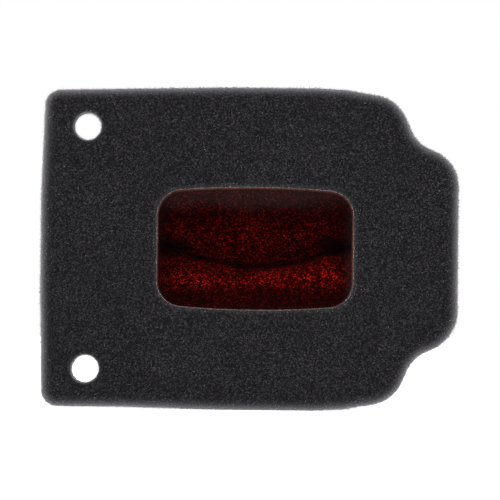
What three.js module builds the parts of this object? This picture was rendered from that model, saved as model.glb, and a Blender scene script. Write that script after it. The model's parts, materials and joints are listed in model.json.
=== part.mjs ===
// Two-stage foam air filter element for a small engine.
//
// A thick black outer box of open-cell foam (front pad, side band, rear panel) is glued
// together round a red fine-foam bag. The bag hangs behind a rounded window in the front
// pad, its mouth, and its two sheets close on each other in a slack, pinched rear seam.
// Two stud holes go through the ears of the front pad.
//
// Frame: millimetres. X runs along the length, Y from the sealing face to the rear and
// Z up. The origin is at the bottom, in the middle of the length and of the depth.

import * as THREE from 'three';

// ---------------------------------------------------------------- driving sizes

// Outline of the front pad, seen from the front.
const length = 180;
const height = 139;
const ear_corner_radius = 7;
const ear_corner_drop = 1.8;        // the top edge falls by this from its flat to the corner
const ear_corner_setback = 1.6;     // the left edge leans in by this from its flat to the corner
const left_flat_half_height = 22;
const top_flat_from_left = 80;
const top_flat_from_right = 49;
const edge_bend_radius = 120;       // of the slight bends where the flats end

// Shoulders and nose of the right end, measured in from that end.
const shoulder_inset = 27;
const shoulder_drop = 5.1;
const shoulder_radius = 16.6;
const neck_inset = 19;
const neck_half_height = 45.6;
const neck_radius = 15.2;
const nose_half_height = 38.9;
const nose_radius = 18.4;

// The box behind the pad leaves the ears free: its left end has a shoulder and nose too.
const left_shoulder_inset = 41;
const left_neck_inset = 32;
const left_nose_setback = 2;        // the left nose stops this far short of the pad's edge

// Foam and glue.
const front_pad_thickness = 10;
const rear_panel_thickness = 10;
const band_depth = 44;
const band_wall = 9.5;
const band_inset = 1.5;             // the band stands back from the pad and panel by this
const glue_film = 0.6;
const glue_setback = 1.2;           // the glue stops this far inside the band's outer face

// Stud holes in the ears.
const stud_hole_diameter = 12;
const stud_hole_from_left = 20;
const stud_hole_from_edge = 17.5;   // from the top and bottom of the height

// Mouth of the clean side.
const mouth_width = 84;
const mouth_height = 48;
const mouth_corner_radius = 9.5;
const mouth_bow = 2.2;              // the long edges bow outwards by this in the middle
const mouth_offset = 2.5;           // from the middle of the length towards the nose

// Red inner stage.
const collar_thickness = 4;
const liner_thickness = 8;
const liner_seam_allowance = 8;     // glued length past where the sheets meet
const liner_rear_clearance = 4;     // from the bag's end to the rear panel
const liner_sag = 7;                // the pinched seam hangs down by this in its middle

// Fineness of round stretches.
const arc_step = Math.PI / 18;
const smallest_edge = 0.01;
const smallest_fillet = 1;
const mouth_arc_steps = 5;
const mouth_edge_steps = 6;
const stud_hole_sides = 28;
const liner_rows = 10;

// ---------------------------------------------------------------- derived places

const half_length = length / 2;
const half_height = height / 2;
const total_depth = front_pad_thickness + glue_film + band_depth + glue_film + rear_panel_thickness;

// Each of these is the front (lowest Y) of a layer.
const front_pad_y = -total_depth / 2;
const front_seam_y = front_pad_y + front_pad_thickness;
const side_band_y = front_seam_y + glue_film;
const rear_seam_y = side_band_y + band_depth;
const rear_panel_y = rear_seam_y + glue_film;
const collar_bond_y = front_seam_y;
const collar_y = collar_bond_y + glue_film;
const liner_bond_y = collar_y + collar_thickness;
const liner_y = liner_bond_y + glue_film;

// From the liner's front to where the sheets meet.
const liner_pinch_depth = rear_panel_y - liner_rear_clearance - liner_seam_allowance - liner_y;

const mouth_x = mouth_offset;
const stud_hole_x = -half_length + stud_hole_from_left;
const stud_hole_z = half_height - stud_hole_from_edge;

// ---------------------------------------------------------------- materials

const black_foam = new THREE.MeshStandardMaterial({ color: 0x242326, roughness: 0.95, metalness: 0 });
const red_foam = new THREE.MeshStandardMaterial({ color: 0x8c120e, roughness: 0.8, metalness: 0 });
const dark_glue = new THREE.MeshStandardMaterial({ color: 0x141316, roughness: 0.55, metalness: 0 });
const red_glue = new THREE.MeshStandardMaterial({ color: 0x4a0f0c, roughness: 0.5, metalness: 0 });

// ---------------------------------------------------------------- outlines

const corner = (x, z, radius) => ({ x, z, radius });

// Right half of both outlines: flat top, shoulder, neck, nose.
const right_end_corners = [
  corner(half_length - top_flat_from_right, half_height, edge_bend_radius),
  corner(half_length - shoulder_inset, half_height - shoulder_drop, shoulder_radius),
  corner(half_length - neck_inset, neck_half_height, neck_radius),
  corner(half_length, nose_half_height, nose_radius),
];

const pad_corners = [
  corner(-half_length, left_flat_half_height, edge_bend_radius),
  corner(-half_length + ear_corner_setback, half_height - ear_corner_drop, ear_corner_radius),
  corner(-half_length + top_flat_from_left, half_height, edge_bend_radius),
  ...right_end_corners,
];

const box_corners = [
  corner(-half_length + left_nose_setback, nose_half_height, nose_radius),
  corner(-half_length + left_neck_inset, neck_half_height, neck_radius),
  corner(-half_length + left_shoulder_inset, half_height - shoulder_drop, shoulder_radius),
  corner(-half_length + top_flat_from_left, half_height, edge_bend_radius),
  ...right_end_corners,
];

// Moves every edge of a clockwise polygon inwards by the inset and lets the edges meet
// again. A convex corner's radius shrinks by the inset and a hollow one's grows by it.
function insetPolygon(corners, inset) {
  const count = corners.length;
  const edges = corners.map((from, i) => {
    const to = corners[(i + 1) % count];
    const along = new THREE.Vector2(to.x - from.x, to.z - from.z).normalize();
    const inwards = new THREE.Vector2(along.y, -along.x);
    return { along, start: new THREE.Vector2(from.x, from.z).addScaledVector(inwards, inset) };
  });
  return corners.map((original, i) => {
    const before = edges[(i + count - 1) % count];
    const after = edges[i];
    const turn = before.along.cross(after.along);
    const across = after.start.clone().sub(before.start);
    const reach = across.cross(after.along) / turn;
    const meet = before.start.clone().addScaledVector(before.along, reach);
    const radius = original.radius + (turn < 0 ? -inset : inset);
    return corner(meet.x, meet.y, Math.max(radius, smallest_fillet));
  });
}

// Points round a polygon given by its upper half, left to right, and mirrored below. Every
// corner becomes an arc, made smaller where two arcs would not fit on the edge between them.
function roundedOutline(upper_corners, inset = 0) {
  const lower_corners = upper_corners.map(({ x, z, radius }) => corner(x, -z, radius)).reverse();
  const polygon = insetPolygon([...upper_corners, ...lower_corners], inset);
  const count = polygon.length;
  const at = (i) => new THREE.Vector2(polygon[(i + count) % count].x, polygon[(i + count) % count].z);
  const reaches = polygon.map(({ radius }, i) => {
    const arriving = at(i).sub(at(i - 1));
    const leaving = at(i + 1).sub(at(i));
    const turn = Math.atan2(arriving.cross(leaving), arriving.dot(leaving));
    return { turn, reach: radius * Math.tan(Math.abs(turn) / 2) };
  });
  const share = (i) => {
    const wanted = reaches[(i + count) % count].reach + reaches[(i + 1 + count) % count].reach;
    return Math.min(1, at(i + 1).distanceTo(at(i)) / wanted);
  };
  const points = [];
  for (let i = 0; i < count; i += 1) {
    const { turn, reach } = reaches[i];
    const cut = reach * Math.min(share(i - 1), share(i));
    const radius = cut / Math.tan(Math.abs(turn) / 2);
    const along = at(i).sub(at(i - 1)).normalize();
    const inwards = new THREE.Vector2(-along.y, along.x).multiplyScalar(Math.sign(turn));
    const centre = at(i).addScaledVector(along, -cut).addScaledVector(inwards, radius);
    const spoke = inwards.clone().multiplyScalar(-radius);
    const steps = Math.max(2, Math.ceil(Math.abs(turn) / arc_step));
    for (let k = 0; k <= steps; k += 1) {
      points.push(spoke.clone().rotateAround(new THREE.Vector2(), turn * k / steps).add(centre));
    }
  }
  // Two arcs that fill the edge between them share a point.
  return points.filter((point, i) => point.distanceTo(points.at(i - 1)) > smallest_edge);
}

// Upper half of the mouth's rounded rectangle, right to left, grown outwards by a margin.
// Its long edge bows up by a parabola.
function mouthHalf(margin = 0) {
  const radius = mouth_corner_radius + margin;
  const arc_x = mouth_width / 2 - mouth_corner_radius;
  const arc_z = mouth_height / 2 - mouth_corner_radius;
  const points = [new THREE.Vector2(arc_x + radius, 0)];
  for (let k = 0; k <= mouth_arc_steps; k += 1) {
    const angle = Math.PI / 2 * k / mouth_arc_steps;
    points.push(new THREE.Vector2(arc_x + radius * Math.cos(angle), arc_z + radius * Math.sin(angle)));
  }
  for (let k = 1; k < mouth_edge_steps; k += 1) {
    points.push(new THREE.Vector2(arc_x * (1 - 2 * k / mouth_edge_steps), arc_z + radius));
  }
  for (let k = mouth_arc_steps; k >= 0; k -= 1) {
    const angle = Math.PI / 2 * k / mouth_arc_steps;
    points.push(new THREE.Vector2(-arc_x - radius * Math.cos(angle), arc_z + radius * Math.sin(angle)));
  }
  points.push(new THREE.Vector2(-arc_x - radius, 0));
  for (const point of points) {
    point.y *= 1 + mouth_bow / (arc_z + radius) * (1 - (point.x / (arc_x + radius)) ** 2);
  }
  return points;
}

function mouthOutline(margin = 0) {
  const upper = mouthHalf(margin);
  const lower = upper.slice(1, -1).reverse().map((point) => new THREE.Vector2(point.x, -point.y));
  return [...upper, ...lower].map((point) => new THREE.Vector2(point.x + mouth_x, point.y));
}

// ---------------------------------------------------------------- building blocks

// Turns a shape drawn in X and Z into a layer whose front face is at y.
const upright = new THREE.Matrix4().set(1, 0, 0, 0, 0, 0, -1, 0, 0, 1, 0, 0, 0, 0, 0, 1);

function layer(name, shape, y, thickness, material) {
  const geometry = new THREE.ExtrudeGeometry(shape, { depth: thickness, bevelEnabled: false });
  geometry.applyMatrix4(upright);
  const mesh = new THREE.Mesh(geometry, material);
  mesh.name = name;
  mesh.position.y = y + thickness;
  return mesh;
}

// A hole runs round the other way from the outline it is in.
function shapeWithHoles(outer, ...holes) {
  const shape = new THREE.Shape(outer);
  const outer_clockwise = THREE.ShapeUtils.isClockWise(outer);
  for (const hole of holes) {
    const same_way = THREE.ShapeUtils.isClockWise(hole) === outer_clockwise;
    shape.holes.push(new THREE.Path(same_way ? [...hole].reverse() : hole));
  }
  return shape;
}

// ---------------------------------------------------------------- black outer stage

function studHole(z) {
  const points = [];
  for (let k = 0; k < stud_hole_sides; k += 1) {
    const rim = new THREE.Vector2(stud_hole_diameter / 2, 0);
    rim.rotateAround(new THREE.Vector2(), 2 * Math.PI * k / stud_hole_sides);
    points.push(rim.add(new THREE.Vector2(stud_hole_x, z)));
  }
  return points;
}

function makeFrontPad() {
  const stud_holes = [studHole(stud_hole_z), studHole(-stud_hole_z)];
  const shape = shapeWithHoles(roundedOutline(pad_corners), mouthOutline(), ...stud_holes);
  return layer('front_pad', shape, front_pad_y, front_pad_thickness, black_foam);
}

// One strip bent round the box. Its ends meet in a glued butt joint on the left nose.
function makeSideBand() {
  const outer = roundedOutline(box_corners, band_inset);
  const inner = roundedOutline(box_corners, band_inset + band_wall);
  const outer_x = -half_length + left_nose_setback + band_inset;
  const inner_x = outer_x + band_wall;
  const gap = glue_film / 2;
  const strip = new THREE.Shape([
    new THREE.Vector2(outer_x, gap),
    ...outer,
    new THREE.Vector2(outer_x, -gap),
    new THREE.Vector2(inner_x, -gap),
    ...inner.reverse(),
    new THREE.Vector2(inner_x, gap),
  ]);
  return layer('side_band', strip, side_band_y, band_depth, black_foam);
}

function makeBandButtJoint() {
  const outer_x = -half_length + left_nose_setback + band_inset + glue_setback;
  const inner_x = -half_length + left_nose_setback + band_inset + band_wall;
  const geometry = new THREE.BoxGeometry(inner_x - outer_x, band_depth, glue_film);
  const mesh = new THREE.Mesh(geometry, dark_glue);
  mesh.name = 'band_butt_joint';
  mesh.position.set((outer_x + inner_x) / 2, side_band_y + band_depth / 2, 0);
  return mesh;
}

function makeRearPanel() {
  const shape = new THREE.Shape(roundedOutline(box_corners));
  return layer('rear_panel', shape, rear_panel_y, rear_panel_thickness, black_foam);
}

// The glue between a flat piece and the edge of the side band.
function makeBandSeam(name, y) {
  const outer = roundedOutline(box_corners, band_inset + glue_setback);
  const inner = roundedOutline(box_corners, band_inset + band_wall);
  return layer(name, shapeWithHoles(outer, inner), y, glue_film, dark_glue);
}

// ---------------------------------------------------------------- red inner stage

function makeMouthRing(name, y, thickness, material) {
  const shape = shapeWithHoles(mouthOutline(liner_thickness), mouthOutline());
  return layer(name, shape, y, thickness, material);
}

// How far the bag hangs below its flat place: nothing at its sides and mouth, and a
// parabola across it that grows towards the pinched seam as the bag closes.
function linerSag(x, open) {
  const across = x / (mouth_width / 2);
  return -liner_sag * (1 - open) * Math.max(0, 1 - across ** 2);
}

// Places across the pinched seam, right to left, one for each point of the mouth's half.
function seamColumns() {
  const count = mouthHalf().length;
  return Array.from({ length: count }, (_, i) => mouth_width / 2 * (1 - 2 * i / (count - 1)));
}

// One sheet of the bag. Every row across it is an arch with flat feet, the gap between an
// inner and an outer half outline. From the mouth to the pinch the inner arch falls by half
// a cosine wave to the seam's face while its points spread out evenly, and past the pinch
// it stays closed. The side is 1 for the upper sheet and -1 for the lower one.
function makeLinerSheet(name, side) {
  const inner = mouthHalf();
  const outer = mouthHalf(liner_thickness);
  const seam_x = seamColumns();
  const columns = inner.length;
  const foot = glue_film / 2;
  const half_mouth = mouth_height / 2;
  const outer_spread = outer[0].x / inner[0].x;
  const positions = [];
  const addArch = (profile, spread, scale, open, y) => {
    for (let i = 0; i < columns; i += 1) {
      const x = THREE.MathUtils.lerp(seam_x[i] * spread, profile[i].x, open);
      const z = side * (foot + profile[i].y * scale) + linerSag(x, open);
      positions.push(mouth_x + x, y, z);
    }
  };
  const last_row = liner_rows + 1;
  for (let row = 0; row <= last_row; row += 1) {
    const t = Math.min(row / liner_rows, 1);
    const open = (1 + Math.cos(Math.PI * t)) / 2;
    const y = row < last_row ? liner_pinch_depth * t : liner_pinch_depth + liner_seam_allowance;
    const outer_scale = (half_mouth * open + liner_thickness) / (half_mouth + liner_thickness);
    addArch(inner, 1, open, open, y);
    addArch(outer, outer_spread, outer_scale, open, y);
  }
  const index = [];
  const quad = (a, b, c, d) => {
    const order = side > 0 ? [a, b, c, a, c, d] : [a, c, b, a, d, c];
    index.push(...order);
  };
  const inner_at = (row, i) => row * 2 * columns + i;
  const outer_at = (row, i) => row * 2 * columns + columns + i;
  const end = columns - 1;
  for (let row = 0; row < last_row; row += 1) {
    for (let i = 0; i < end; i += 1) {
      quad(inner_at(row, i), inner_at(row, i + 1), inner_at(row + 1, i + 1), inner_at(row + 1, i));
      quad(outer_at(row, i + 1), outer_at(row, i), outer_at(row + 1, i), outer_at(row + 1, i + 1));
    }
    quad(outer_at(row, 0), inner_at(row, 0), inner_at(row + 1, 0), outer_at(row + 1, 0));
    quad(inner_at(row, end), outer_at(row, end), outer_at(row + 1, end), inner_at(row + 1, end));
  }
  for (let i = 0; i < end; i += 1) {
    quad(inner_at(0, i), outer_at(0, i), outer_at(0, i + 1), inner_at(0, i + 1));
    const rear = [outer_at(last_row, i), inner_at(last_row, i)];
    quad(...rear, inner_at(last_row, i + 1), outer_at(last_row, i + 1));
  }
  const geometry = new THREE.BufferGeometry();
  geometry.setAttribute('position', new THREE.Float32BufferAttribute(positions, 3));
  geometry.setIndex(index);
  geometry.computeVertexNormals();
  const mesh = new THREE.Mesh(geometry, red_foam);
  mesh.name = name;
  mesh.position.y = liner_y;
  return mesh;
}

// Glue down one side of the bag, between the feet of the two sheets.
function makeLinerSideSeam(name, side) {
  const geometry = new THREE.BoxGeometry(liner_thickness, liner_pinch_depth, glue_film);
  const mesh = new THREE.Mesh(geometry, red_glue);
  mesh.name = name;
  const middle_x = side * (mouth_width + liner_thickness) / 2;
  mesh.position.set(mouth_x + middle_x, liner_y + liner_pinch_depth / 2, 0);
  return mesh;
}

// Glue along the pinched rear of the bag. It hangs as the sheets do.
function makeLinerRearSeam() {
  const half_width = mouth_width / 2 + liner_thickness;
  const across = [half_width, ...seamColumns(), -half_width];
  const faceHeight = (x, side) => side * glue_film / 2 + linerSag(x, 0);
  const face = (side) => across.map((x) => new THREE.Vector2(mouth_x + x, faceHeight(x, side)));
  const shape = new THREE.Shape([...face(1), ...face(-1).reverse()]);
  return layer('liner_rear_seam', shape, liner_y + liner_pinch_depth, liner_seam_allowance, red_glue);
}

// ---------------------------------------------------------------- assembly

// Pieces are drawn about the middle of the height.
const filter = new THREE.Group();
filter.position.z = half_height;
filter.add(
  makeFrontPad(),
  makeSideBand(),
  makeBandButtJoint(),
  makeRearPanel(),
  makeBandSeam('front_seam', front_seam_y),
  makeBandSeam('rear_seam', rear_seam_y),
  makeMouthRing('collar_bond', collar_bond_y, glue_film, red_glue),
  makeMouthRing('mouth_collar', collar_y, collar_thickness, red_foam),
  makeMouthRing('liner_bond', liner_bond_y, glue_film, red_glue),
  makeLinerSheet('liner_upper_sheet', 1),
  makeLinerSheet('liner_lower_sheet', -1),
  makeLinerSideSeam('liner_right_seam', 1),
  makeLinerSideSeam('liner_left_seam', -1),
  makeLinerRearSeam(),
);

export default filter;
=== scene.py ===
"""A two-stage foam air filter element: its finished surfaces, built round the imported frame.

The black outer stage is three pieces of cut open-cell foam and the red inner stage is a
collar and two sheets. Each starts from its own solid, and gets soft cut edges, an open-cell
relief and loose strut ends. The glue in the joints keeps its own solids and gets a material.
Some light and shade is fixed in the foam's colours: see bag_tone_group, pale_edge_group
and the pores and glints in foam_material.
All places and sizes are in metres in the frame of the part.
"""

import json
import math

import bmesh
import bpy
import numpy as np
from bpy.props import FloatProperty, FloatVectorProperty, IntProperty, PointerProperty
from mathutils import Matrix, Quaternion, Vector


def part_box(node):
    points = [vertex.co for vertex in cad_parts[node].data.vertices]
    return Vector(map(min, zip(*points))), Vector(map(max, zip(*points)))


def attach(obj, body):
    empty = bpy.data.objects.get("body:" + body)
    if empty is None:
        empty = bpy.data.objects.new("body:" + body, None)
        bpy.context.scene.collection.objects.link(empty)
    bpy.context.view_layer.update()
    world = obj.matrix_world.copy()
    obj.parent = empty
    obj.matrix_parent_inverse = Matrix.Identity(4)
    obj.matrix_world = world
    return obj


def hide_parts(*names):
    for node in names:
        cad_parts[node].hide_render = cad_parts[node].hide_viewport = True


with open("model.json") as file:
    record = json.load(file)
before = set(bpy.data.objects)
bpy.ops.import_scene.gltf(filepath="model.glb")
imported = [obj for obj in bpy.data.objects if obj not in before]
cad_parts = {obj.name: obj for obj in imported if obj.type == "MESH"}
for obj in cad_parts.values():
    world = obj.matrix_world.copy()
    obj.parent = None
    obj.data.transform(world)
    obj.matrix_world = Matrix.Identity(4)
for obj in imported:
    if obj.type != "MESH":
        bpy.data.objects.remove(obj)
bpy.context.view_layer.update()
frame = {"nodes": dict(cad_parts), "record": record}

bl_info = {
    "name": "Foam Air Filter Element",
    "version": (1, 0, 0),
    "blender": (4, 5, 0),
    "location": "View3D > Sidebar > Air Filter",
    "description": "Builds the finished surfaces of a two-stage foam air filter element",
    "category": "Add Mesh",
}

BODY = "root"
MM = 0.001

# The material's pores are finer than the relief's by this.
BLACK_FINER = 1.3
RED_FINER = 1.5
# Shape of the mouth, for the paler ring painted round it in place of light.
MOUTH_CORNER = 9.5 * MM
MOUTH_BOW = 2.2 * MM
# The pinched seam of the red bag is this far under the middle of the mouth.
SEAM_DROP = 7 * MM


# ------------------------------------------------------------------ places from the frame

def node_box(name):
    """The lowest and highest corners of a node as two arrays."""
    low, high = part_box(name)
    return np.array(low), np.array(high)


def node_corners(name):
    """The corners of a node's triangles, as an array of n x 3 x 3 numbers."""
    mesh = frame["nodes"][name].data
    points = np.empty(len(mesh.vertices) * 3)
    mesh.vertices.foreach_get("co", points)
    mesh.calc_loop_triangles()
    index = np.empty(len(mesh.loop_triangles) * 3, np.int64)
    mesh.loop_triangles.foreach_get("vertices", index)
    return points.reshape(-1, 3)[index].reshape(-1, 3, 3)


def cap_outline(name, y):
    """The edges in X and Z of a layer's flat cap at y: each side wall touches it with one edge."""
    corners = node_corners(name)
    on_cap = np.abs(corners[:, :, 1] - y) < 1e-6
    walls = corners[on_cap.sum(1) == 2]
    chosen = on_cap[on_cap.sum(1) == 2]
    ends = walls[chosen].reshape(-1, 2, 3)
    return ends[:, :, [0, 2]]


def nearest_edge(points, edges):
    """For points in X and Z: the distance to the nearest edge, and that edge's number."""
    start = edges[:, 0]
    along = edges[:, 1] - start
    length_squared = (along ** 2).sum(1) + 1e-18
    best = np.full(len(points), np.inf)
    index = np.zeros(len(points), np.int64)
    for i in range(len(edges)):
        offset = points - start[i]
        share = np.clip(offset @ along[i] / length_squared[i], 0, 1)
        gap = offset - share[:, None] * along[i]
        distance = (gap ** 2).sum(1)
        closer = distance < best
        best[closer] = distance[closer]
        index[closer] = i
    return np.sqrt(best), index


def chained_loops(edges):
    """Joins loose edges into closed loops of points, the largest loop first."""
    keys = [tuple(map(tuple, np.round(edge * 1e6).astype(int))) for edge in edges]
    place = {}
    neighbours = {}
    for (a, b), (start, end) in zip(keys, edges):
        place[a], place[b] = start, end
        neighbours.setdefault(a, set()).add(b)
        neighbours.setdefault(b, set()).add(a)
    loops = []
    while neighbours:
        here = min(neighbours)
        loop = [here]
        while True:
            onward = [key for key in neighbours[here] if key not in loop]
            if not onward:
                break
            here = min(onward)
            loop.append(here)
        for key in loop:
            del neighbours[key]
        loops.append(np.array([place[key] for key in loop]))
    return sorted(loops, key=lambda loop: -np.ptp(loop, axis=0).prod())


def edges_of(loop):
    """The edges of a closed loop, as pairs of ends."""
    return np.stack([loop, np.roll(loop, -1, axis=0)], axis=1)


def normals_into(loop, foam_inside):
    """For each edge of a loop in X and Z: the unit vector into the foam, which lies inside an
    outer outline and outside the outline of a hole."""
    ahead = np.roll(loop, -1, axis=0)
    turning = (loop[:, 0] * ahead[:, 1] - ahead[:, 0] * loop[:, 1]).sum()
    along = ahead - loop
    left = np.stack([-along[:, 1], along[:, 0]], axis=1)
    left /= np.linalg.norm(left, axis=1)[:, None]
    return left if (turning > 0) == foam_inside else -left


# ------------------------------------------------------------------ mesh arrays

def make_object(name, points, faces, smooth=True):
    """A mesh object at the origin from arrays of points and of faces with equal corner counts."""
    mesh = bpy.data.meshes.new(name)
    corners = faces.shape[1]
    mesh.vertices.add(len(points))
    mesh.vertices.foreach_set("co", points.astype(np.float32).ravel())
    mesh.loops.add(faces.size)
    mesh.loops.foreach_set("vertex_index", faces.astype(np.int32).ravel())
    mesh.polygons.add(len(faces))
    starts = np.arange(0, faces.size, corners, dtype=np.int32)
    mesh.polygons.foreach_set("loop_start", starts)
    mesh.polygons.foreach_set("use_smooth", np.full(len(faces), smooth))
    mesh.update(calc_edges=True)
    mesh.validate()
    made = bpy.data.objects.new(name, mesh)
    bpy.context.scene.collection.objects.link(made)
    return made


def vertex_normals(points, quads):
    """Unit normals at the points: each quad adds the cross product of its diagonals."""
    across = points[quads[:, 2]] - points[quads[:, 0]]
    other = points[quads[:, 3]] - points[quads[:, 1]]
    facing = np.cross(across, other)
    total = np.zeros_like(points)
    for k in range(4):
        for axis in range(3):
            total[:, axis] += np.bincount(quads[:, k], facing[:, axis], len(points))
    return total / (np.linalg.norm(total, axis=1)[:, None] + 1e-18)


def relax(points, quads, rounds):
    """Moves every point halfway to the mean of its neighbours, the given number of times."""
    ends = np.vstack([quads[:, [0, 1]], quads[:, [1, 2]], quads[:, [2, 3]], quads[:, [3, 0]]])
    count = np.bincount(ends.ravel(), minlength=len(points))
    for _ in range(rounds):
        total = np.empty_like(points)
        for axis in range(3):
            total[:, axis] = np.bincount(ends[:, 0], points[ends[:, 1], axis], len(points))
            total[:, axis] += np.bincount(ends[:, 1], points[ends[:, 0], axis], len(points))
        points = (points + total / count[:, None]) / 2
    return points


def voxel_skin(name, voxel):
    """The surface of a node as even quads: its triangles are welded, then remeshed in voxels."""
    source = frame["nodes"][name]
    mesh = source.data.copy()
    work = bmesh.new()
    work.from_mesh(mesh)
    bmesh.ops.remove_doubles(work, verts=work.verts, dist=1e-6)
    work.to_mesh(mesh)
    work.free()
    holder = bpy.data.objects.new("holder", mesh)
    bpy.context.scene.collection.objects.link(holder)
    remesh = holder.modifiers.new("Remesh", "REMESH")
    remesh.mode = "VOXEL"
    remesh.voxel_size = voxel
    evaluated = holder.evaluated_get(bpy.context.evaluated_depsgraph_get())
    skin = evaluated.to_mesh()
    points = np.empty(len(skin.vertices) * 3)
    skin.vertices.foreach_get("co", points)
    quads = np.empty(len(skin.polygons) * 4, np.int64)
    skin.polygons.foreach_get("vertices", quads)
    evaluated.to_mesh_clear()
    bpy.data.objects.remove(holder)
    bpy.data.meshes.remove(mesh)
    return points.reshape(-1, 3), quads.reshape(-1, 4)


# ------------------------------------------------------------------ foam structure

def hash_unit(cells, channel):
    """A repeatable number from 0 to 1 for each whole-numbered cell."""
    mixed = cells[:, 0] * 73856093 ^ cells[:, 1] * 19349663
    mixed = mixed ^ cells[:, 2] * 83492791 ^ channel * 2654435761
    mixed = (mixed ^ mixed >> 13) * 1274126177 & 0xFFFFFFFF
    mixed = (mixed ^ mixed >> 16) * 2246822519 & 0xFFFFFFFF
    return (mixed & 0xFFFFFF) / 0xFFFFFF


def foam_cells(points, size):
    """Distances to the two nearest of a cloud of pore centres, one in each cubic cell of the
    given size, as shares of the size."""
    scaled = points / size
    home = np.floor(scaled).astype(np.int64)
    nearest = np.full(len(points), 9.0)
    second = np.full(len(points), 9.0)
    for step in np.ndindex(3, 3, 3):
        cell = home + np.array(step) - 1
        centre = cell + np.stack([hash_unit(cell, channel) for channel in (1, 2, 3)], axis=1)
        distance = np.sqrt(((scaled - centre) ** 2).sum(1))
        second = np.minimum(second, np.maximum(nearest, distance))
        nearest = np.minimum(nearest, distance)
    return nearest, second


def open_pores(points, normals, size, depth):
    """Sinks the points between the foam's struts: none where two pores meet, the full depth
    well inside a pore."""
    nearest, second = foam_cells(points, size)
    wall = np.clip((second - nearest) / 0.45, 0, 1)
    sunk = wall * wall * (3 - 2 * wall)
    return points - normals * (depth * sunk)[:, None]


def strut_ends(points, normals, per_area, area, length, width, seed, bare):
    """Cut strut ends: slim closed three-sided spikes that lean at random out of the skin.
    Each has its foot under the skin at a random point, and none stands where bare is true."""
    random = np.random.default_rng(seed)
    count = int(per_area * area)
    weight = np.cumsum((1.15 - np.abs(normals[:, 1])) * ~bare)
    chosen = np.searchsorted(weight, random.random(count) * weight[-1])
    lean = random.normal(0, 0.55, (count, 3))
    up = normals[chosen] + lean
    up /= np.linalg.norm(up, axis=1)[:, None]
    side = np.cross(up, random.normal(0, 1, (count, 3)))
    side /= np.linalg.norm(side, axis=1)[:, None]
    other = np.cross(up, side)
    jitter = random.normal(0, 0.25 * length, (count, 3))
    jitter -= (jitter * normals[chosen]).sum(1)[:, None] * normals[chosen]
    foot = points[chosen] + jitter - up * length * 0.5
    reach = length * (0.5 + random.beta(1.6, 2.6, count) * 1.5)
    thick = width * random.uniform(0.6, 1.3, count)
    corners = []
    for k in range(3):
        angle = 2 * math.pi * k / 3
        corners.append(foot + (side * math.cos(angle) + other * math.sin(angle)) * thick[:, None] / 2)
    tip = foot + up * reach[:, None]
    spikes = np.stack([*corners, tip], axis=1).reshape(-1, 3)
    base = np.arange(count)[:, None] * 4
    faces = np.vstack([base + f for f in ([0, 2, 1], [0, 1, 3], [1, 2, 3], [2, 0, 3])])
    return spikes, faces


def round_cap_edges(points, face_y, into_y, loops, rounds):
    """Rounds where a layer's side walls meet the flat face at face_y; into_y is +1 or -1, the
    way from the face into the foam. The first loop is the outline and the others are holes.
    Each has a quarter ellipse, given by its width in the face and its depth. A point outside
    the ellipse moves straight towards its centre until it lies on it."""
    flat = points[:, [0, 2]]
    below_face = (points[:, 1] - face_y) * into_y
    result = points.copy()
    for number, (loop, (width, depth)) in enumerate(zip(loops, rounds)):
        close = np.flatnonzero(below_face < depth)
        distance, edge = nearest_edge(flat[close], edges_of(loop))
        inside = distance < width
        chosen = close[inside]
        from_wall = 1 - distance[inside] / width
        from_face = 1 - below_face[chosen] / depth
        pull = 1 - np.minimum(1, 1 / np.maximum(np.hypot(from_wall, from_face), 1e-9))
        into = normals_into(loop, number == 0)[edge[inside]]
        result[chosen, 0] += into[:, 0] * width * from_wall * pull
        result[chosen, 2] += into[:, 1] * width * from_wall * pull
        result[chosen, 1] += into_y * depth * from_face * pull
    return result


def add_foam(name, points, quads, look):
    """A foam piece from a smooth skin of quads: pores sink into it and strut ends stand on it.
    The look holds the cell size, pore depth, strut length, width and number and a seed."""
    normals = vertex_normals(points, quads)
    across = points[quads[:, 2]] - points[quads[:, 0]]
    other = points[quads[:, 3]] - points[quads[:, 1]]
    area = np.linalg.norm(np.cross(across, other), axis=1).sum() / 2
    rough = open_pores(points, normals, look["cell"], look["depth"])
    spikes, spike_faces = strut_ends(points, normals, look["per_area"], area,
                                     look["strut_length"], look["strut_width"], look["seed"],
                                     look["bare"](points))
    triangles = np.vstack([quads[:, [0, 1, 2]], quads[:, [0, 2, 3]], spike_faces + len(points)])
    return make_object(name, np.vstack([rough, spikes]), triangles)


# ------------------------------------------------------------------ shader node helpers

def new_group(name, inputs, outputs):
    """A shader node group with the given sockets: inputs are (name, type, default)."""
    group = bpy.data.node_groups.new(name, "ShaderNodeTree")
    for label, kind, default in inputs:
        socket = group.interface.new_socket(label, in_out="INPUT", socket_type=kind)
        if default is not None:
            socket.default_value = default
    for label, kind in outputs:
        group.interface.new_socket(label, in_out="OUTPUT", socket_type=kind)
    entry = group.nodes.new("NodeGroupInput")
    leave = group.nodes.new("NodeGroupOutput")
    return group, entry, leave


def node(tree, kind, inputs=None, **settings):
    """A node with settings and inputs: an input is a value, or an output socket to link."""
    made = tree.nodes.new(kind)
    for label, value in settings.items():
        setattr(made, label, value)
    for label, value in (inputs or {}).items():
        if isinstance(value, bpy.types.NodeSocket):
            tree.links.new(value, made.inputs[label])
        else:
            made.inputs[label].default_value = value
    return made


def math_node(tree, operation, *values):
    """The output of a maths node on two or three values or sockets."""
    made = tree.nodes.new("ShaderNodeMath")
    made.operation = operation
    for slot, value in enumerate(values):
        if isinstance(value, bpy.types.NodeSocket):
            tree.links.new(value, made.inputs[slot])
        else:
            made.inputs[slot].default_value = value
    return made.outputs[0]


def map_range(tree, value, low, high, to_low=0.0, to_high=1.0):
    """A clamped smooth step from one range to another."""
    made = node(tree, "ShaderNodeMapRange", {"Value": value, "From Min": low, "From Max": high,
                                             "To Min": to_low, "To Max": to_high},
                interpolation_type="SMOOTHSTEP")
    return made.outputs["Result"]


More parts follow.
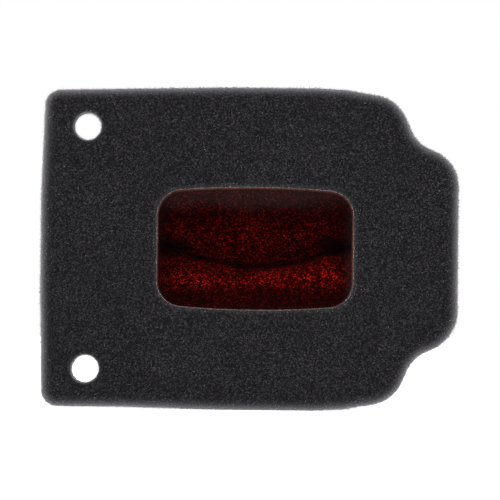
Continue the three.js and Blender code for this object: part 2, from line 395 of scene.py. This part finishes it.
def mix_colour(tree, share, first, second, blend="MIX"):
    """The output of a colour mix node."""
    made = tree.nodes.new("ShaderNodeMix")
    made.data_type = "RGBA"
    made.blend_type = blend
    made.clamp_factor = True
    for slot, value in ((0, share), (6, first), (7, second)):
        if isinstance(value, bpy.types.NodeSocket):
            tree.links.new(value, made.inputs[slot])
        else:
            made.inputs[slot].default_value = value
    return made.outputs[2]


def foam_cell_group():
    """Open-cell foam. Struts lie where pores meet, so their mask falls with the distance to
    the border between the pores of a Voronoi pattern. Glint is an even random number for
    each cell, and Cloud varies slowly over the piece."""
    found = bpy.data.node_groups.get("Foam Cells")
    if found:
        return found
    group, entry, leave = new_group(
        "Foam Cells",
        [("Vector", "NodeSocketVector", None), ("Cells Per Metre", "NodeSocketFloat", 900.0),
         ("Strut Share", "NodeSocketFloat", 0.22)],
        [("Struts", "NodeSocketFloat"), ("Glint", "NodeSocketFloat"),
         ("Cloud", "NodeSocketFloat"), ("Height", "NodeSocketFloat")])
    place = entry.outputs["Vector"]
    scale = entry.outputs["Cells Per Metre"]
    border = node(group, "ShaderNodeTexVoronoi", {"Vector": place, "Scale": scale},
                  feature="DISTANCE_TO_EDGE")
    cells = node(group, "ShaderNodeTexVoronoi", {"Vector": place, "Scale": scale}, feature="F1")
    fine_scale = math_node(group, "MULTIPLY", scale, 2.3)
    fine = node(group, "ShaderNodeTexVoronoi", {"Vector": place, "Scale": fine_scale},
                feature="DISTANCE_TO_EDGE")
    wide = map_range(group, border.outputs["Distance"], 0.0, entry.outputs["Strut Share"], 1.0, 0.0)
    thin = map_range(group, fine.outputs["Distance"], 0.0, entry.outputs["Strut Share"], 1.0, 0.0)
    struts = math_node(group, "MAXIMUM", wide, math_node(group, "MULTIPLY", thin, 0.6))
    tone = node(group, "ShaderNodeSeparateColor", {"Color": cells.outputs["Color"]})
    cloud = node(group, "ShaderNodeTexNoise", {"Vector": place, "Scale": 45.0, "Detail": 3.0,
                                               "Roughness": 0.55})
    link = group.links.new
    link(struts, leave.inputs["Struts"])
    link(tone.outputs["Red"], leave.inputs["Glint"])
    link(cloud.outputs["Fac"], leave.inputs["Cloud"])
    link(math_node(group, "SUBTRACT", struts, cells.outputs["Distance"]), leave.inputs["Height"])
    return group


def bag_tone_group():
    """Light and shade that are fixed to the red bag, and stay in any other light. Tone is 1.9
    on the lip under the pinched seam, 0.3 below the lip, and 0.8 above the seam, fading to 0.4
    at the top. It is multiplied by 0.35 along the seam, which rises by the square of the
    distance from the middle, by 0.15 in an ellipse at each end of it, and by 0.4 at the sides.
    The second output is a painted grey sheen near the mouth's top and nose side. A slow noise
    moves the borders up and down."""
    found = bpy.data.node_groups.get("Bag Tone")
    if found:
        return found
    low, high = node_box("mouth_collar")
    middle_x, middle_z = (low[0] + high[0]) / 2, (low[2] + high[2]) / 2
    group, entry, leave = new_group("Bag Tone", [("Vector", "NodeSocketVector", None)],
                                    [("Tone", "NodeSocketFloat"), ("Painted Sheen", "NodeSocketFloat")])
    wobble = node(group, "ShaderNodeTexNoise", {"Vector": entry.outputs["Vector"], "Scale": 60.0})
    place = node(group, "ShaderNodeSeparateXYZ", {"Vector": entry.outputs["Vector"]})
    shift = math_node(group, "MULTIPLY", math_node(group, "SUBTRACT", wobble.outputs["Fac"], 0.5),
                      8 * MM)
    x = math_node(group, "SUBTRACT", place.outputs["X"], middle_x)
    z = math_node(group, "ADD", math_node(group, "SUBTRACT", place.outputs["Z"], middle_z), shift)
    curve = 5.5     # the seam rises by this times the square of the distance from the middle
    seam_bow = math_node(group, "MULTIPLY", math_node(group, "MULTIPLY", x, x), curve)
    over_seam = math_node(group, "SUBTRACT", math_node(group, "SUBTRACT", place.outputs["Z"],
                                                       middle_z - SEAM_DROP), seam_bow)
    uneven = math_node(group, "ADD", over_seam, math_node(group, "MULTIPLY", shift, 0.7))
    lip_foot = map_range(group, z, -18.5 * MM, -13 * MM)
    lip_top = map_range(group, uneven, -2 * MM, 0.5 * MM, 1.0, 0.0)
    lip = math_node(group, "MULTIPLY", lip_foot, lip_top)
    upper = map_range(group, uneven, -2 * MM, 0.5 * MM, 0.32, 0.8)
    dim_top = map_range(group, z, 6 * MM, 16 * MM, 1.0, 0.5)
    lower = math_node(group, "MULTIPLY", lip, 1.6)
    front = math_node(group, "ADD", math_node(group, "MULTIPLY", upper, dim_top), lower)
    near_side = map_range(group, math_node(group, "ABSOLUTE", x), 33 * MM, 41 * MM, 1.0, 0.4)
    sideways = math_node(group, "SUBTRACT", math_node(group, "ABSOLUTE", x), 37 * MM)
    along = math_node(group, "DIVIDE", sideways, 10 * MM)
    across = math_node(group, "DIVIDE", math_node(group, "SUBTRACT", z, 1.3 * MM), 3.6 * MM)
    from_pocket = math_node(group, "ADD", math_node(group, "POWER", along, 2.0),
                            math_node(group, "POWER", across, 2.0))
    pocket = map_range(group, from_pocket, 0.3, 1.3, 0.15, 1.0)
    seam = map_range(group, math_node(group, "ABSOLUTE", uneven), 0.4 * MM, 2 * MM, 0.35, 1.0)
    pocket = math_node(group, "MULTIPLY", pocket, seam)
    tone = math_node(group, "MULTIPLY", math_node(group, "MULTIPLY", front, near_side), pocket)
    # Painted grey sheen near the mouth's top and nose side.
    top_sheen = map_range(group, z, 15 * MM, 24 * MM)
    side_sheen = map_range(group, x, 38 * MM, 43 * MM, 0.0, 0.9)
    group.links.new(tone, leave.inputs["Tone"])
    group.links.new(math_node(group, "MAXIMUM", top_sheen, side_sheen), leave.inputs["Painted Sheen"])
    return group


def pale_edge_group():
    """Where a paler colour is fixed to the black foam, in place of light caught by its edges.
    It stays in any other light. Edge depends only on the depth under the outermost front or
    rear face: 0 at the face, 1 at 3 to 4 mm and 0 again at 7 mm. Rim is 1 at the mouth's edge
    and 0 from 3.4 mm outside it, on the front half only: the distance is that to a rounded
    rectangle whose long edges bow outwards."""
    found = bpy.data.node_groups.get("Pale Edge")
    if found:
        return found
    outermost = -node_box("front_pad")[0][1]
    group, entry, leave = new_group("Pale Edge", [("Vector", "NodeSocketVector", None)],
                                    [("Edge", "NodeSocketFloat"), ("Rim", "NodeSocketFloat")])
    place = node(group, "ShaderNodeSeparateXYZ", {"Vector": entry.outputs["Vector"]})
    under = math_node(group, "SUBTRACT", outermost,
                      math_node(group, "ABSOLUTE", place.outputs["Y"]))
    begins = map_range(group, under, 0.2 * MM, 3 * MM)
    ends = map_range(group, under, 4 * MM, 7 * MM, 1.0, 0.0)
    group.links.new(math_node(group, "MULTIPLY", begins, ends), leave.inputs["Edge"])
    mouth = np.array(chained_loops(cap_outline("front_pad", -outermost))[1])
    middle, half = (mouth.min(0) + mouth.max(0)) / 2, (mouth.max(0) - mouth.min(0)) / 2
    x = math_node(group, "ABSOLUTE", math_node(group, "SUBTRACT", place.outputs["X"], middle[0]))
    z = math_node(group, "ABSOLUTE", math_node(group, "SUBTRACT", place.outputs["Z"], middle[1]))
    drop = math_node(group, "MULTIPLY", math_node(group, "MULTIPLY", x, x), MOUTH_BOW / half[0] ** 2)
    past_x = math_node(group, "MAXIMUM", math_node(group, "SUBTRACT", x, half[0] - MOUTH_CORNER), 0.0)
    past_z = math_node(group, "SUBTRACT", math_node(group, "ADD", z, drop), half[1] - MOUTH_CORNER)
    past_z = math_node(group, "MAXIMUM", past_z, 0.0)
    square = math_node(group, "ADD", math_node(group, "MULTIPLY", past_x, past_x),
                       math_node(group, "MULTIPLY", past_z, past_z))
    beyond = math_node(group, "SUBTRACT", math_node(group, "SQRT", square), MOUTH_CORNER)
    rim = map_range(group, beyond, 0.0, 3.4 * MM, 1.0, 0.0)
    on_front = math_node(group, "LESS_THAN", place.outputs["Y"], 0.0)
    rim = math_node(group, "MULTIPLY", math_node(group, "POWER", rim, 1.6), on_front)
    group.links.new(rim, leave.inputs["Rim"])
    return group


def new_material(name):
    """An empty material: its tree and its Principled shader."""
    material = bpy.data.materials.new(name)
    material.use_nodes = True
    tree = material.node_tree
    return material, tree, tree.nodes["Principled BSDF"]


def foam_material(name, pore, strut, glint_colour, cells_per_metre, strut_share, finish):
    """Cut foam: dark pores, lighter struts and a few bright glints, bumped by the cells. The
    pores' darker colour is painted shade in the open cells, and the glints are painted
    highlights in the base colour, on cells that are also glossier.
    """
    material, tree, shader = new_material(name)
    place = node(tree, "ShaderNodeTexCoord").outputs["Object"]
    cells = node(tree, "ShaderNodeGroup", node_tree=foam_cell_group())
    tree.links.new(place, cells.inputs["Vector"])
    cells.inputs["Cells Per Metre"].default_value = cells_per_metre
    cells.inputs["Strut Share"].default_value = strut_share
    struts = cells.outputs["Struts"]
    # Pores are coloured darker than struts: painted shade in the open cells, over their shallow real
    # relief.
    body = mix_colour(tree, struts, (*pore, 1), (*strut, 1))
    # Glints are painted highlights: a bright base colour on a few random cells, which are also glossier.
    glint = math_node(tree, "POWER", cells.outputs["Glint"], finish["glint_power"])
    sparkle = math_node(tree, "MULTIPLY", glint, struts)
    lit = mix_colour(tree, sparkle, body, (*glint_colour, 1))
    cloud = map_range(tree, cells.outputs["Cloud"], 0.3, 0.7, finish["cloud_low"], 1.0)
    shade = node(tree, "ShaderNodeCombineColor", {"Red": cloud, "Green": cloud, "Blue": cloud})
    colour = mix_colour(tree, 1.0, lit, shade.outputs["Color"], "MULTIPLY")
    # Light and shade painted into the red bag's colour, and a painted grey sheen near the mouth.
    if "painted_sheen" in finish:
        tone = node(tree, "ShaderNodeGroup", node_tree=bag_tone_group())
        tree.links.new(place, tone.inputs["Vector"])
        level = tone.outputs["Tone"]
        grey = node(tree, "ShaderNodeCombineColor", {"Red": level, "Green": level, "Blue": level})
        colour = mix_colour(tree, 1.0, colour, grey.outputs["Color"], "MULTIPLY")
        painted_sheen = math_node(tree, "MULTIPLY", tone.outputs["Painted Sheen"], struts)
        colour = mix_colour(tree, painted_sheen, colour, (*finish["painted_sheen"], 1), "ADD")
    # Painted light: a paler colour on the black foam's cut edges and round the mouth.
    if "pale_edge" in finish:
        edge = node(tree, "ShaderNodeGroup", node_tree=pale_edge_group())
        tree.links.new(place, edge.inputs["Vector"])
        pale = math_node(tree, "MULTIPLY", edge.outputs["Edge"],
                         map_range(tree, struts, 0.0, 0.7, 0.55, 1.0))
        pale = math_node(tree, "ADD", pale, math_node(tree, "MULTIPLY", edge.outputs["Rim"], 0.22))
        colour = mix_colour(tree, pale, colour, (*finish["pale_edge"], 1), "ADD")
    tree.links.new(colour, shader.inputs["Base Color"])
    rough = map_range(tree, glint, 0.0, 1.0, finish["rough"], finish["glint_rough"])
    tree.links.new(rough, shader.inputs["Roughness"])
    bump = node(tree, "ShaderNodeBump", {"Height": cells.outputs["Height"],
                                         "Strength": finish["bump"], "Distance": 0.5 * MM})
    tree.links.new(bump.outputs["Normal"], shader.inputs["Normal"])
    shader.inputs["Specular IOR Level"].default_value = finish["specular"]
    shader.inputs["Specular Tint"].default_value = (*finish["specular_tint"], 1)
    shader.inputs["Sheen Weight"].default_value = finish["sheen"]
    shader.inputs["Sheen Roughness"].default_value = finish["sheen_rough"]
    shader.inputs["Sheen Tint"].default_value = (*finish["sheen_tint"], 1)
    return material


def glue_material(name, colour, rough):
    """Cured contact adhesive: satin rubber with soft lumps and dull patches."""
    material, tree, shader = new_material(name)
    place = node(tree, "ShaderNodeTexCoord").outputs["Object"]
    lumps = node(tree, "ShaderNodeTexNoise", {"Vector": place, "Scale": 700.0, "Detail": 3.0})
    patches = node(tree, "ShaderNodeTexNoise", {"Vector": place, "Scale": 120.0, "Detail": 2.0})
    brighter = tuple(min(1.0, channel * 2.2) for channel in colour)
    tint = mix_colour(tree, patches.outputs["Fac"], (*colour, 1), (*brighter, 1))
    tree.links.new(tint, shader.inputs["Base Color"])
    tree.links.new(map_range(tree, patches.outputs["Fac"], 0.3, 0.7, rough, rough + 0.3),
                   shader.inputs["Roughness"])
    bump = node(tree, "ShaderNodeBump", {"Height": lumps.outputs["Fac"], "Strength": 0.5,
                                         "Distance": 0.3 * MM})
    tree.links.new(bump.outputs["Normal"], shader.inputs["Normal"])
    return material


def black_foam():
    """The coarse black foam of the outer stage."""
    found = bpy.data.materials.get("Black Foam")
    finish = {"rough": 0.9, "glint_rough": 0.6, "bump": 0.2, "specular": 0.02, "cloud_low": 0.85,
              "sheen": 0.88, "sheen_rough": 0.4, "sheen_tint": (0.97, 0.95, 1.0), "glint_power": 4.0,
              "pale_edge": (0.055, 0.053, 0.055), "specular_tint": (1.0, 1.0, 1.0)}
    settings = bpy.context.scene.air_filter
    cells_per_metre = BLACK_FINER / (settings.black_cell * MM)
    return found or foam_material("Black Foam", (0.0005, 0.0004, 0.0006), tuple(settings.black_strut),
                                  (0.06, 0.057, 0.062), cells_per_metre, 0.25, finish)


def red_foam():
    """The fine red foam of the inner stage, glossier than the black foam."""
    found = bpy.data.materials.get("Red Foam")
    # Its last colour is for a painted grey sheen near the mouth of the bag.
    finish = {"rough": 0.6, "glint_rough": 0.3, "bump": 0.7, "specular": 0.12, "cloud_low": 0.6,
              "sheen": 0.02, "sheen_rough": 0.4, "sheen_tint": (1.0, 0.6, 0.6), "glint_power": 10.0,
              "specular_tint": (1.0, 0.06, 0.05), "painted_sheen": (0.02, 0.018, 0.018)}
    settings = bpy.context.scene.air_filter
    cells_per_metre = RED_FINER / (settings.red_cell * MM)
    return found or foam_material("Red Foam", (0.004, 0.0001, 0.0001), tuple(settings.red_strut),
                                  (0.98, 0.02, 0.01), cells_per_metre, 0.3, finish)


def dark_glue():
    """Glue in the joints of the black foam."""
    return bpy.data.materials.get("Dark Glue") or glue_material("Dark Glue", (0.006, 0.006, 0.007), 0.3)


def red_glue():
    """Dark red glue in the joints of the red foam."""
    return bpy.data.materials.get("Red Glue") or glue_material("Red Glue", (0.05, 0.004, 0.003), 0.3)


def finish_piece(piece, material, node_name):
    """Gives a foam piece its material, slot and body, and hides the node it stands for."""
    piece.data.materials.clear()
    piece.data.materials.append(material)
    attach(piece, BODY)
    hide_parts(node_name)


# ------------------------------------------------------------------ settings

class AirFilterSettings(bpy.types.PropertyGroup):
    """Sizes and colours of the foam. The cells are in millimetres and other lengths in metres."""

    black_cell: FloatProperty(name="Black cell", description="Pore size of the black relief in mm",
                              default=0.58, min=0.5, max=4.0)
    red_cell: FloatProperty(name="Red cell", description="Pore size of the red relief in mm",
                            default=0.76, min=0.4, max=4.0)
    black_strut: FloatVectorProperty(name="Black strut", description="Colour of the black foam's struts",
                                     default=(0.0045, 0.004, 0.0046), subtype="COLOR", min=0, max=1)
    red_strut: FloatVectorProperty(name="Red strut", description="Colour of the red foam's struts",
                                   default=(0.014, 0.0003, 0.0002), subtype="COLOR", min=0, max=1)
    face_voxel: FloatProperty(name="Face voxel", description="Spacing of the front pad's skin",
                              default=0.00043, min=0.0003, max=0.003, subtype="DISTANCE",
                              unit="LENGTH")
    skin_voxel: FloatProperty(name="Skin voxel", description="Spacing of the other foam's skin",
                              default=0.0006, min=0.0003, max=0.003, subtype="DISTANCE", unit="LENGTH")
    pore_depth: FloatProperty(name="Pore depth", description="How far the pores sink into the skin",
                              default=0.00015, min=0, max=0.002, subtype="DISTANCE", unit="LENGTH")
    outer_round: FloatProperty(name="Outer rounding", description="Width of the rounding of the cut edges",
                               default=0.0065, min=0.0005, max=0.0075, subtype="DISTANCE", unit="LENGTH")
    seam_round: FloatProperty(name="Seam rounding", description="Radius of the edges beside a seam",
                              default=0.0014, min=0.0003, max=0.004, subtype="DISTANCE", unit="LENGTH")
    mouth_round: FloatProperty(name="Mouth rounding", description="Width of the rounding of the mouth",
                               default=0.0032, min=0.0003, max=0.004, subtype="DISTANCE", unit="LENGTH")
    hole_round: FloatProperty(name="Hole rounding", description="Width of the rounding of the stud holes",
                              default=0.0028, min=0.0002, max=0.003, subtype="DISTANCE", unit="LENGTH")
    seed: IntProperty(name="Seed", description="Start of the random strut ends", default=7, min=0)


def in_mouth(points):
    """Whether each point is in the mouth or within 2 mm of it, in front of the collar. No strut
    ends stand there."""
    low, high = node_box("mouth_collar")
    middle_x, middle_z = (low[0] + high[0]) / 2, (low[2] + high[2]) / 2
    near = np.abs(points[:, 0] - middle_x) < 44.5 * MM
    level = np.abs(points[:, 2] - middle_z) < 28.5 * MM
    return near & level & (points[:, 1] < low[1])


def foam_look(cell, depth, seed, strut_length=1.0 * MM, strut_width=0.18 * MM, per_area=0.8e6):
    """The structure of a foam skin. The number of strut ends is for each square metre."""
    return {"cell": cell, "depth": depth, "seed": seed, "strut_length": strut_length,
            "strut_width": strut_width, "per_area": per_area, "bare": in_mouth}


def smooth_step(values, low, high):
    """A smooth step from 0 at low to 1 at high."""
    share = np.clip((values - low) / (high - low), 0, 1)
    return share * share * (3 - 2 * share)


def uneven_outline(points):
    """Small departures from the even outline of the solids, as smooth steps in X and Z. The upper
    shoulder runs out by 1 mm towards the nose, the lower ear sags by 0.6 mm and runs out by
    0.5 mm, and the top edge rises by up to 0.2 mm."""
    low, high = node_box("front_pad")
    x = points[:, 0]
    z = points[:, 2] - (low[2] + high[2]) / 2
    result = points.copy()
    shoulder = smooth_step(z, 22 * MM, 42 * MM) * smooth_step(x, 20 * MM, 62 * MM)
    result[:, 0] += 1.0 * MM * shoulder
    top_rise = smooth_step(z, 30 * MM, 66 * MM) * smooth_step(-x, -75 * MM, -50 * MM)
    result[:, 2] += 0.1 * MM * top_rise
    crown = smooth_step(z, 40 * MM, 66 * MM) * smooth_step(x, 25 * MM, 48 * MM)
    result[:, 2] += 0.1 * MM * crown * smooth_step(-x, -75 * MM, -55 * MM)
    ear = smooth_step(-z, 30 * MM, 66 * MM) * smooth_step(-x, 50 * MM, 85 * MM)
    result[:, 2] -= 0.6 * MM * ear
    result[:, 0] -= 0.5 * MM * ear
    return result


def undercut_mouth(points, loops):
    """The mouth's wall slants: it runs outwards by 1.4 mm towards the back. Points near the
    wall move away from the opening by that share of their depth. The rim is ragged too: inside
    a pore of 1.1 mm it sits back by up to 0.5 mm."""
    low, high = node_box("front_pad")
    distance, edge = nearest_edge(points[:, [0, 2]], edges_of(loops[1]))
    into = normals_into(loops[1], False)[edge]
    share = np.clip((points[:, 1] - low[1] - 0.6 * MM) / (high[1] - low[1]), 0, 1)
    near = smooth_step(-distance, -7 * MM, -1 * MM)
    result = points.copy()
    result[:, [0, 2]] += into * (1.4 * MM * share * near)[:, None]
    shallow = smooth_step(low[1] - points[:, 1], -5 * MM, -2 * MM)
    rim = smooth_step(-distance, -3 * MM, -0.8 * MM) * shallow
    nearest, second = foam_cells(points, 1.1 * MM)
    ragged = 0.5 * MM * rim * np.clip((second - nearest) / 0.45, 0, 1)
    result[:, [0, 2]] += into * ragged[:, None]
    return result


def layer_piece(name, front_radii, rear_radii, look, voxel, bend=None):
    """A cut layer of foam from a CAD layer: soft cut edges, then an optional bend."""
    low, high = node_box(name)
    loops = chained_loops(cap_outline(name, low[1]))
    points, quads = voxel_skin(name, voxel)
    points = round_cap_edges(points, low[1], 1, loops, front_radii)
    points = round_cap_edges(points, high[1], -1, loops, rear_radii)
    points = uneven_outline(points)
    if bend:
        points = bend(points, loops)
    return add_foam(name + "_foam", points, quads, look)


# ------------------------------------------------------------------ black outer stage

class AIRFILTER_OT_front_pad(bpy.types.Operator):
    """Build the front pad with its mouth and stud holes"""

    bl_idname = "airfilter.front_pad"
    bl_label = "Front Pad"

    def execute(self, context):
        settings = context.scene.air_filter
        outer, mouth, hole = settings.outer_round, settings.mouth_round, settings.hole_round
        front = [(outer, 0.9 * outer), (mouth, 0.15 * mouth), (hole, 0.7 * hole), (hole, 0.7 * hole)]
        seam = (settings.seam_round, settings.seam_round)
        rear = [(0.4 * outer, 0.4 * outer), seam, seam, seam]
        look = foam_look(settings.black_cell * MM, settings.pore_depth, settings.seed)
        pad = layer_piece("front_pad", front, rear, look, settings.face_voxel,
                          bend=undercut_mouth)
        finish_piece(pad, black_foam(), "front_pad")
        return {"FINISHED"}


class AIRFILTER_OT_side_band(bpy.types.Operator):
    """Build the side band"""

    bl_idname = "airfilter.side_band"
    bl_label = "Side Band"

    def execute(self, context):
        settings = context.scene.air_filter
        seam = (settings.seam_round, settings.seam_round)
        look = foam_look(settings.black_cell * MM, settings.pore_depth, settings.seed + 1)
        band = layer_piece("side_band", [seam], [seam], look, settings.skin_voxel)
        finish_piece(band, black_foam(), "side_band")
        return {"FINISHED"}


class AIRFILTER_OT_rear_panel(bpy.types.Operator):
    """Build the rear panel"""

    bl_idname = "airfilter.rear_panel"
    bl_label = "Rear Panel"

    def execute(self, context):
        settings = context.scene.air_filter
        look = foam_look(settings.black_cell * MM, settings.pore_depth, settings.seed + 2)
        seam = (settings.seam_round, settings.seam_round)
        outer = (settings.outer_round, 0.9 * settings.outer_round)
        panel = layer_piece("rear_panel", [seam], [outer], look, settings.skin_voxel)
        finish_piece(panel, black_foam(), "rear_panel")
        return {"FINISHED"}


# ------------------------------------------------------------------ red inner stage

def fold_bag(points, side):
    """The bag's soft folds. Towards the pinch the seam wanders up and down along X by a step
    and three bell curves. Each sheet swells over the seam's glue by 0.75 mm, so the two pass
    into each other there, and sine ripples of 0.35 mm run over both sheets. Side is 1 for the
    upper sheet and -1 for the lower."""
    low, high = node_box("mouth_collar")
    x = points[:, 0] - (low[0] + high[0]) / 2
    deep = smooth_step(points[:, 1], low[1], 6 * MM)
    lift = 2.6 * smooth_step(x, 14 * MM, 34 * MM)
    lift += 1.7 * np.exp(-((x + 26 * MM) / (6 * MM)) ** 2)
    lift += 1.1 * np.exp(-((x - 8 * MM) / (6 * MM)) ** 2)
    lift -= 0.6 * np.exp(-((x + 12 * MM) / (7 * MM)) ** 2)
    result = points.copy()
    result[:, 2] += lift * deep * MM
    result[:, 2] -= side * 0.75 * MM * smooth_step(points[:, 1], 4 * MM, 9 * MM)
    roll = np.sin(points[:, 0] / (4.1 * MM) + side) + np.sin(points[:, 1] / (3.3 * MM) + 2)
    result[:, 2] += 0.35 * MM * roll * deep
    return result


class AIRFILTER_OT_red_bag(bpy.types.Operator):
    """Build the collar and the two sheets of the red bag"""

    bl_idname = "airfilter.red_bag"
    bl_label = "Red Bag"

    def execute(self, context):
        settings = context.scene.air_filter
        cell = settings.red_cell * MM
        for number, name in enumerate(("mouth_collar", "liner_upper_sheet", "liner_lower_sheet")):
            points, quads = voxel_skin(name, settings.skin_voxel)
            points = relax(points, quads, 6)
            if name != "mouth_collar":
                points = fold_bag(points, 1 if "upper" in name else -1)
            look = foam_look(cell, settings.pore_depth, settings.seed + 10 + number,
                             strut_length=0.6 * MM, strut_width=0.18 * MM)
            piece = add_foam(name + "_foam", points, quads, look)
            finish_piece(piece, red_foam(), name)
        return {"FINISHED"}


class AIRFILTER_OT_glue(bpy.types.Operator):
    """Finish the glue in every joint"""

    bl_idname = "airfilter.glue"
    bl_label = "Glue"

    def execute(self, context):
        finishes = {"dark_glue": dark_glue(), "red_glue": red_glue()}
        for row in frame["record"]["subparts"]:
            material = finishes.get(row["material_slot"])
            if material:
                mesh = frame["nodes"][row["node"]].data
                mesh.materials.clear()
                mesh.materials.append(material)
        return {"FINISHED"}


# ------------------------------------------------------------------ stage

def softbox(name, place, aim, size, watts):
    """A square area light that looks at a point."""
    data = bpy.data.lights.new(name, "AREA")
    data.size = size
    data.energy = watts
    light = bpy.data.objects.new(name, data)
    light.location = place
    light.rotation_euler = (Vector(aim) - Vector(place)).to_track_quat("-Z", "Y").to_euler()
    bpy.context.scene.collection.objects.link(light)


class AIRFILTER_OT_stage(bpy.types.Operator):
    """Set up the floor, the light and the camera"""

    bl_idname = "airfilter.stage"
    bl_label = "Stage"

    def execute(self, context):
        scene = context.scene
        low, high = node_box("front_pad")
        middle = Vector(((low[0] + high[0]) / 2, low[1], (low[2] + high[2]) / 2))

        floor_size = 3.0
        corners = np.array([[-1, -1, 0], [1, -1, 0], [1, 1, 0], [-1, 1, 0]]) * floor_size
        floor = make_object("floor", corners, np.array([[0, 1, 2, 3]]), smooth=False)
        material, tree, shader = new_material("Pale Floor")
        grain = node(tree, "ShaderNodeTexNoise", {"Scale": 30.0, "Detail": 2.0})
        pale = mix_colour(tree, grain.outputs["Fac"], (0.5, 0.5, 0.5, 1), (0.54, 0.54, 0.54, 1))
        tree.links.new(pale, shader.inputs["Base Color"])
        shader.inputs["Roughness"].default_value = 0.9
        shader.inputs["Emission Color"].default_value = (1, 1, 1, 1)
        shader.inputs["Emission Strength"].default_value = 1.0
        floor.data.materials.append(material)

        world = bpy.data.worlds.new("Soft White")
        world.use_nodes = True
        world.node_tree.nodes["Background"].inputs["Color"].default_value = (1, 1, 1, 1)
        world.node_tree.nodes["Background"].inputs["Strength"].default_value = 1.0
        scene.world = world
        key_size, key_watts = 0.5, 6
        softbox("Key", (-0.25, -0.9, 1.0), middle, key_size, key_watts)

        camera_data = bpy.data.cameras.new("Camera")
        camera = bpy.data.objects.new("Camera", camera_data)
        scene.collection.objects.link(camera)
        distance = 1.2
        below = math.radians(1.2)
        view_width = 0.2146
        camera_data.sensor_width = 36
        camera_data.lens = 36 * distance / view_width
        aim = middle + Vector((0.0003, 0, -0.0006))
        back = Vector((0, -math.cos(below), -math.sin(below)))
        camera.location = aim + back * distance
        roll = math.radians(0.55)
        level = (-back).to_track_quat("-Z", "Y")
        camera.rotation_euler = (level @ Quaternion((0, 0, 1), roll)).to_euler()
        camera_data.clip_start = 0.01
        camera_data.clip_end = 20
        scene.camera = camera
        scene.view_settings.view_transform = "Standard"
        scene.view_settings.look = "None"
        return {"FINISHED"}


class AIRFILTER_PT_panel(bpy.types.Panel):
    """Sizes, colours and steps of the air filter"""

    bl_label = "Air Filter"
    bl_idname = "AIRFILTER_PT_panel"
    bl_space_type = "VIEW_3D"
    bl_region_type = "UI"
    bl_category = "Air Filter"

    def draw(self, context):
        settings = context.scene.air_filter
        for label in AirFilterSettings.__annotations__:
            self.layout.prop(settings, label)
        for step in STEPS:
            self.layout.operator(step.bl_idname)


STEPS = (
    AIRFILTER_OT_stage,
    AIRFILTER_OT_front_pad,
    AIRFILTER_OT_side_band,
    AIRFILTER_OT_rear_panel,
    AIRFILTER_OT_red_bag,
    AIRFILTER_OT_glue,
)
CLASSES = (AirFilterSettings, *STEPS, AIRFILTER_PT_panel)


def register():
    for made in CLASSES:
        bpy.utils.register_class(made)
    bpy.types.Scene.air_filter = PointerProperty(type=AirFilterSettings)


def unregister():
    del bpy.types.Scene.air_filter
    for made in reversed(CLASSES):
        bpy.utils.unregister_class(made)


def main():
    """Registers the classes and runs every step in order."""
    register()
    bpy.ops.airfilter.stage()
    bpy.ops.airfilter.front_pad()
    bpy.ops.airfilter.side_band()
    bpy.ops.airfilter.rear_panel()
    bpy.ops.airfilter.red_bag()
    bpy.ops.airfilter.glue()


if __name__ == "__main__":
    main()
